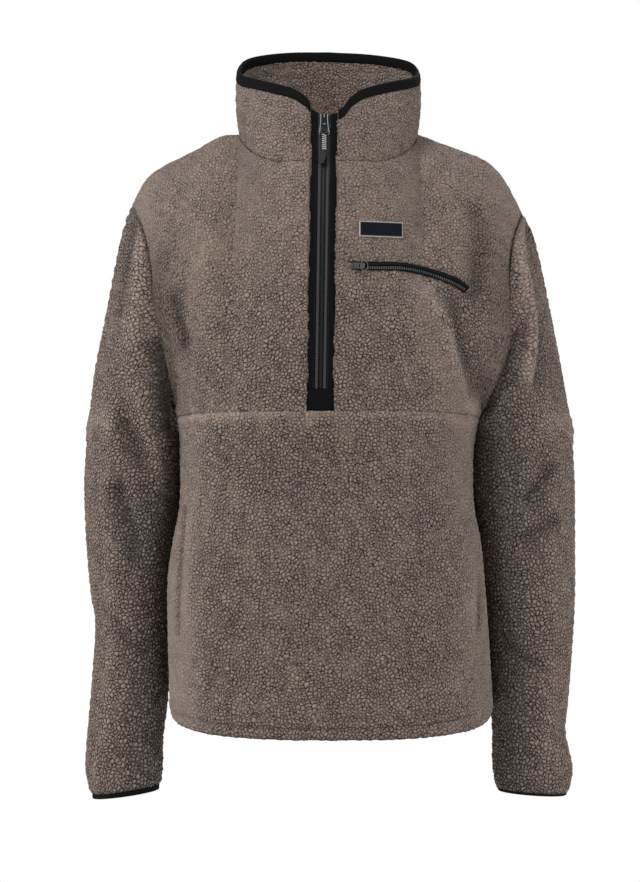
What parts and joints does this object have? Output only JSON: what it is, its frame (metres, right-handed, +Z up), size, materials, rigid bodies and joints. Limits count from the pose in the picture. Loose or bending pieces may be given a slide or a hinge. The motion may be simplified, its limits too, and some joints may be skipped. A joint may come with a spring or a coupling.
{
  "type": "sherpa fleece pullover",
  "caption": "Sherpa fleece pullover with a stand collar, half zip, chest seam and zipped chest pocket, filled out as worn.",
  "frame": {"origin": "base of the wearer's neck, midway between the two shoulder points, where the shoulders hold the garment", "axes": "+Z up, -Y is the front, +X is the wearer's left side"},
  "size_m": [0.5473, 0.2346, 0.8321],
  "materials": {
    "fleece": "deep pebbled sherpa pile",
    "binding": "flat elastic binding, matte",
    "placket_tape": "smooth woven tape, matte",
    "zip_tape": "ribbed zip tape, dark grey",
    "zip_teeth": "moulded teeth, satin black",
    "black_metal": "gloss black",
    "bright_metal": "plated, slightly dulled",
    "pull_rubber": "matte moulded",
    "dark_wire": "gloss black wire",
    "label_cloth": "woven patch with a pale border, no lettering"
  },
  "bodies": {
    "root": {"front_yoke_right": "fleece", "front_yoke_left": "fleece", "front_lower": "fleece", "back_panel": "fleece", "sleeve_right": "fleece", "sleeve_left": "fleece", "collar": "fleece", "collar_binding": "binding", "cuff_binding_right": "binding", "cuff_binding_left": "binding", "placket_end": "placket_tape", "placket_strip_right": "placket_tape", "placket_strip_left": "placket_tape", "zip_tape_right": "zip_tape", "zip_tape_left": "zip_tape", "zip_chain": "zip_teeth", "zip_slider": "black_metal", "pocket_tape": "placket_tape", "pocket_chain": "zip_teeth", "pocket_slider": "black_metal", "label_patch": "label_cloth"},
    "zip_pull": {"pull_ring": "bright_metal", "pull_link": "bright_metal", "pull_tab": "pull_rubber"},
    "pocket_pull": {"pocket_ring": "dark_wire"}
  },
  "joints": [
    {"name": "zip_pull_swing", "type": "hinge", "parent": "root", "child": "zip_pull", "pos_m": [-0.00452, -0.0859, 0.01665], "axis": [-1, 0, 0], "range_deg": [0, 120]},
    {"name": "pocket_ring_swing", "type": "hinge", "parent": "root", "child": "pocket_pull", "pos_m": [0.03389, -0.11467, -0.13326], "axis": [0, 0, -1], "range_deg": [0, 140]}
  ]
}
